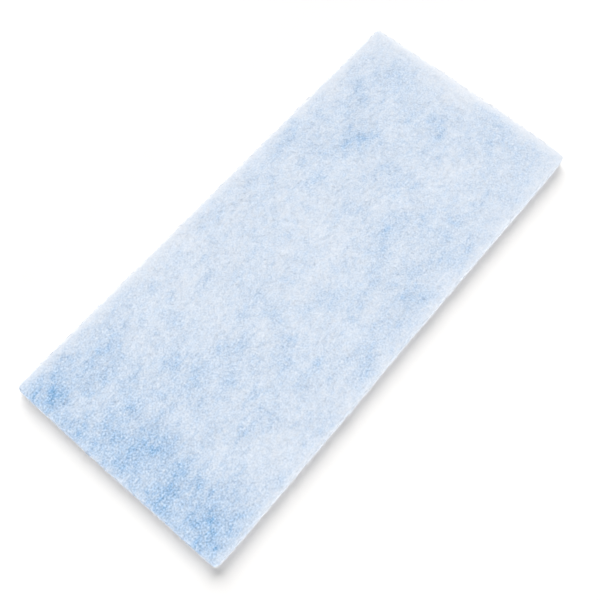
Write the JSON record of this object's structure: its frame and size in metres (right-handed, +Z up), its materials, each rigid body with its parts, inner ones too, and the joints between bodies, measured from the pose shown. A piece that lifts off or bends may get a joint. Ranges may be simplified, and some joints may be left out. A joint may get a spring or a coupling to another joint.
{
  "type": "filter pad",
  "caption": "Flat rectangular pad of bonded polyester fibre webs, open and pale blue on its face, fine and white below, cut to lie in a filter tray and strain pond or aquarium water.",
  "frame": {"origin": "centre of the flat white back face that the pad rests on", "axes": "+X along the pad's length, +Y across its width, +Z up through the webs and out of the blue face"},
  "size_m": [0.25, 0.115, 0.006],
  "materials": {
    "blue_fleece": "soft matte bonded fibre",
    "pale_blue_fleece": "soft matte bonded fibre",
    "white_fleece": "soft matte bonded fibre",
    "pressed_white_fleece": "smoother pressed fibre skin"
  },
  "bodies": {
    "root": {"blue_face_web": "blue_fleece", "blue_middle_web": "blue_fleece", "blue_inner_web": "pale_blue_fleece", "white_bonding_web": "white_fleece", "white_upper_web": "white_fleece", "white_lower_web": "white_fleece", "white_fine_web": "white_fleece", "white_back_web": "pressed_white_fleece"}
  },
  "joints": []
}
